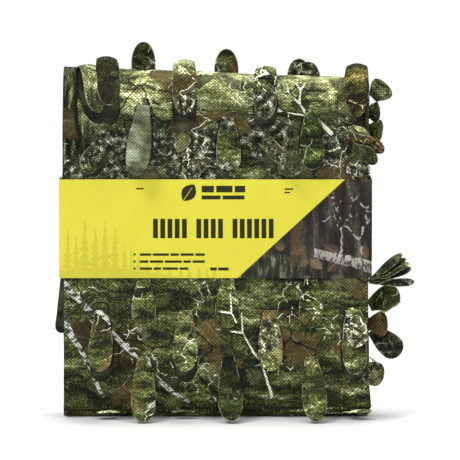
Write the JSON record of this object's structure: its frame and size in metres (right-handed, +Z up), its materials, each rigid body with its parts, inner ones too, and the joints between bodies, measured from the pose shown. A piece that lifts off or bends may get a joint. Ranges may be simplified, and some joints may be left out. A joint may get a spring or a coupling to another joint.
{
  "type": "ground blind cloth",
  "caption": "Folded die-cut leaf camouflage cloth for a ground blind, standing upright and held by a printed card belly band.",
  "frame": {"origin": "middle of the base that the folded cloth stands on, at half its width and half its depth", "axes": "+Z up, +X along the width to the right as seen from the front, and the band's printed face looks along -Y"},
  "size_m": [0.3815, 0.146, 0.394],
  "materials": {
    "cloth": "matt woven cloth, printed woodland camouflage",
    "leaves": "the same printed cloth, die-cut leaf tabs",
    "band_card": "satin printed card",
    "glue": "dried hot-melt glue spots"
  },
  "bodies": {
    "pack": {"band_back": "band_card", "band_glue_spots": "glue", "band_glue_tab": "band_card", "band_right_side": "band_card", "cloth_fold_01": "cloth", "cloth_fold_02": "cloth", "cloth_fold_03": "cloth", "cloth_fold_04": "cloth", "cloth_fold_05": "cloth", "cloth_fold_06": "cloth", "cloth_fold_07": "cloth", "cloth_fold_08": "cloth", "cloth_fold_09": "cloth", "cloth_fold_10": "cloth", "cloth_fold_11": "cloth", "cloth_loose_end": "cloth", "leaves_above_band": "leaves", "leaves_at_edges": "leaves", "leaves_below_band": "leaves", "leaves_on_back": "leaves", "leaves_under_band": "leaves"},
    "band_front": {"band_front": "band_card"},
    "band_left_flap": {"band_left_flap": "band_card"},
    "leaf_low_1": {"leaf_low_1": "leaves"},
    "leaf_low_2": {"leaf_low_2": "leaves"},
    "leaf_low_3": {"leaf_low_3": "leaves"},
    "leaf_middle_1": {"leaf_middle_1": "leaves"},
    "leaf_middle_2": {"leaf_middle_2": "leaves"},
    "leaf_middle_3": {"leaf_middle_3": "leaves"},
    "leaf_middle_4": {"leaf_middle_4": "leaves"},
    "leaf_high_1": {"leaf_high_1": "leaves"},
    "leaf_high_2": {"leaf_high_2": "leaves"},
    "leaf_high_3": {"leaf_high_3": "leaves"},
    "leaf_roll_1": {"leaf_roll_1": "leaves"},
    "leaf_roll_2": {"leaf_roll_2": "leaves"},
    "leaf_roll_3": {"leaf_roll_3": "leaves"},
    "leaf_roll_4": {"leaf_roll_4": "leaves"},
    "leaf_crest_1": {"leaf_crest_1": "leaves"},
    "leaf_crest_2": {"leaf_crest_2": "leaves"},
    "leaf_crest_3": {"leaf_crest_3": "leaves"},
    "leaf_inner": {"leaf_inner": "leaves"},
    "leaf_side_high": {"leaf_side_high": "leaves"},
    "leaf_side_tuft": {"leaf_side_tuft": "leaves"},
    "leaf_side_low": {"leaf_side_low": "leaves"},
    "leaf_corner_high": {"leaf_corner_high": "leaves"},
    "leaf_edge_upper": {"leaf_edge_upper": "leaves"},
    "leaf_edge_middle": {"leaf_edge_middle": "leaves"},
    "leaf_edge_low": {"leaf_edge_low": "leaves"},
    "leaf_edge_curl": {"leaf_edge_curl": "leaves"}
  },
  "joints": [
    {"name": "band_front_opens", "type": "hinge", "parent": "pack", "child": "band_front", "pos_m": [0.164, -0.0292, 0.2005], "axis": [0, 0, 1], "range_deg": [0, 150]},
    {"name": "band_flap_opens", "type": "hinge", "parent": "band_front", "child": "band_left_flap", "pos_m": [-0.1649, -0.0292, 0.2005], "axis": [0, 0, 1], "range_deg": [0, 90]},
    {"name": "leaf_low_1_lifts", "type": "hinge", "parent": "pack", "child": "leaf_low_1", "pos_m": [-0.076, -0.0359, 0.06431], "axis": [-1, 0, 0], "range_deg": [-15, 45], "stiffness_Nm_per_rad": 0.003},
    {"name": "leaf_low_2_lifts", "type": "hinge", "parent": "pack", "child": "leaf_low_2", "pos_m": [0.013, -0.0359, 0.06431], "axis": [-0.9986, -0.0004, -0.0523], "range_deg": [-15, 45], "stiffness_Nm_per_rad": 0.003},
    {"name": "leaf_low_3_lifts", "type": "hinge", "parent": "pack", "child": "leaf_low_3", "pos_m": [0.1, -0.0359, 0.06431], "axis": [-0.9962, -0.0006, -0.0872], "range_deg": [-15, 45], "stiffness_Nm_per_rad": 0.003},
    {"name": "leaf_middle_1_lifts", "type": "hinge", "parent": "pack", "child": "leaf_middle_1", "pos_m": [-0.12, -0.0319, 0.11272], "axis": [-0.9998, 0.0023, 0.0173], "range_deg": [-15, 45], "stiffness_Nm_per_rad": 0.003},
    {"name": "leaf_middle_2_lifts", "type": "hinge", "parent": "pack", "child": "leaf_middle_2", "pos_m": [-0.032, -0.0319, 0.11272], "axis": [-1, 0, 0], "range_deg": [-15, 45], "stiffness_Nm_per_rad": 0.003},
    {"name": "leaf_middle_3_lifts", "type": "hinge", "parent": "pack", "child": "leaf_middle_3", "pos_m": [0.056, -0.0319, 0.11272], "axis": [-0.9994, -0.0046, -0.0346], "range_deg": [-2, 60], "stiffness_Nm_per_rad": 0.003},
    {"name": "leaf_middle_4_lifts", "type": "hinge", "parent": "pack", "child": "leaf_middle_4", "pos_m": [0.145, -0.0315, 0.11572], "axis": [-0.9994, -0.0046, -0.0346], "range_deg": [-6, 40], "stiffness_Nm_per_rad": 0.003},
    {"name": "leaf_high_1_lifts", "type": "hinge", "parent": "pack", "child": "leaf_high_1", "pos_m": [-0.076, -0.0313, 0.32903], "axis": [-0.9945, 0.0039, 0.1045], "range_deg": [-4, 60], "stiffness_Nm_per_rad": 0.003},
    {"name": "leaf_high_2_lifts", "type": "hinge", "parent": "pack", "child": "leaf_high_2", "pos_m": [0.012, -0.03099, 0.31694], "axis": [-0.9994, 0.0023, -0.0348], "range_deg": [-2, 60], "stiffness_Nm_per_rad": 0.003},
    {"name": "leaf_high_3_lifts", "type": "hinge", "parent": "pack", "child": "leaf_high_3", "pos_m": [0.1, -0.0313, 0.32298], "axis": [-0.9998, 0.0005, -0.0174], "range_deg": [-2, 60], "stiffness_Nm_per_rad": 0.003},
    {"name": "leaf_roll_1_lifts", "type": "hinge", "parent": "pack", "child": "leaf_roll_1", "pos_m": [-0.118, 0.0043, 0.369], "axis": [-0.9903, -0.1378, 0.0194], "range_deg": [-1, 30], "stiffness_Nm_per_rad": 0.003},
    {"name": "leaf_roll_2_lifts", "type": "hinge", "parent": "pack", "child": "leaf_roll_2", "pos_m": [-0.033, -0.00108, 0.36611], "axis": [-1, 0, 0], "range_deg": [-3, 45], "stiffness_Nm_per_rad": 0.003},
    {"name": "leaf_roll_3_lifts", "type": "hinge", "parent": "pack", "child": "leaf_roll_3", "pos_m": [0.054, -0.00215, 0.36281], "axis": [-0.9976, 0.0696, 0.0049], "range_deg": [-3, 45], "stiffness_Nm_per_rad": 0.003},
    {"name": "leaf_roll_4_lifts", "type": "hinge", "parent": "pack", "child": "leaf_roll_4", "pos_m": [0.149, 0, 0.35935], "axis": [-0.9986, 0.0523, 0], "range_deg": [0, 30], "stiffness_Nm_per_rad": 0.003},
    {"name": "leaf_crest_1_lifts", "type": "hinge", "parent": "pack", "child": "leaf_crest_1", "pos_m": [-0.077, 0.0309, 0.32], "axis": [-1, 0, 0], "range_deg": [-1, 50], "stiffness_Nm_per_rad": 0.003},
    {"name": "leaf_crest_2_lifts", "type": "hinge", "parent": "pack", "child": "leaf_crest_2", "pos_m": [0.011, 0.0309, 0.3125], "axis": [-1, 0, 0], "range_deg": [-1, 50], "stiffness_Nm_per_rad": 0.003},
    {"name": "leaf_crest_3_lifts", "type": "hinge", "parent": "pack", "child": "leaf_crest_3", "pos_m": [0.098, 0.0309, 0.305], "axis": [-1, 0, 0], "range_deg": [-1, 50], "stiffness_Nm_per_rad": 0.003},
    {"name": "leaf_inner_lifts", "type": "hinge", "parent": "pack", "child": "leaf_inner", "pos_m": [0.05, -0.02971, 0.29397], "axis": [-0.6428, 0.0266, -0.7656], "range_deg": [-3, 30], "stiffness_Nm_per_rad": 0.003},
    {"name": "leaf_side_high_lifts", "type": "hinge", "parent": "pack", "child": "leaf_side_high", "pos_m": [0.16628, -0.0089, 0.338], "axis": [0.7193, 0, -0.6947], "range_deg": [-15, 15], "stiffness_Nm_per_rad": 0.003},
    {"name": "leaf_side_tuft_lifts", "type": "hinge", "parent": "pack", "child": "leaf_side_tuft", "pos_m": [0.1619, -0.006, 0.1442], "axis": [0, -1, 0], "range_deg": [-2, 20], "stiffness_Nm_per_rad": 0.003},
    {"name": "leaf_side_low_lifts", "type": "hinge", "parent": "pack", "child": "leaf_side_low", "pos_m": [0.1619, -0.006, 0.103], "axis": [0, -1, 0], "range_deg": [-10, 8], "stiffness_Nm_per_rad": 0.003},
    {"name": "leaf_corner_high_lifts", "type": "hinge", "parent": "pack", "child": "leaf_corner_high", "pos_m": [0.138, -0.02976, 0.295], "axis": [-0.1736, 0, -0.9848], "range_deg": [-2, 15], "stiffness_Nm_per_rad": 0.003},
    {"name": "leaf_edge_upper_lifts", "type": "hinge", "parent": "pack", "child": "leaf_edge_upper", "pos_m": [0.16445, 0.0191, 0.115], "axis": [0.4384, 0, -0.8988], "range_deg": [-3, 8], "stiffness_Nm_per_rad": 0.003},
    {"name": "leaf_edge_middle_lifts", "type": "hinge", "parent": "pack", "child": "leaf_edge_middle", "pos_m": [0.16205, -0.0229, 0.099], "axis": [0.0698, 0, -0.9976], "range_deg": [-3, 20], "stiffness_Nm_per_rad": 0.003},
    {"name": "leaf_edge_low_lifts", "type": "hinge", "parent": "pack", "child": "leaf_edge_low", "pos_m": [0.16578, -0.0149, 0.091], "axis": [-0.6428, 0, -0.766], "range_deg": [-3, 7], "stiffness_Nm_per_rad": 0.003},
    {"name": "leaf_edge_curl_lifts", "type": "hinge", "parent": "pack", "child": "leaf_edge_curl", "pos_m": [0.152, -0.0383, 0.052], "axis": [-0.2079, 0, -0.9781], "range_deg": [-3, 30], "stiffness_Nm_per_rad": 0.003}
  ]
}
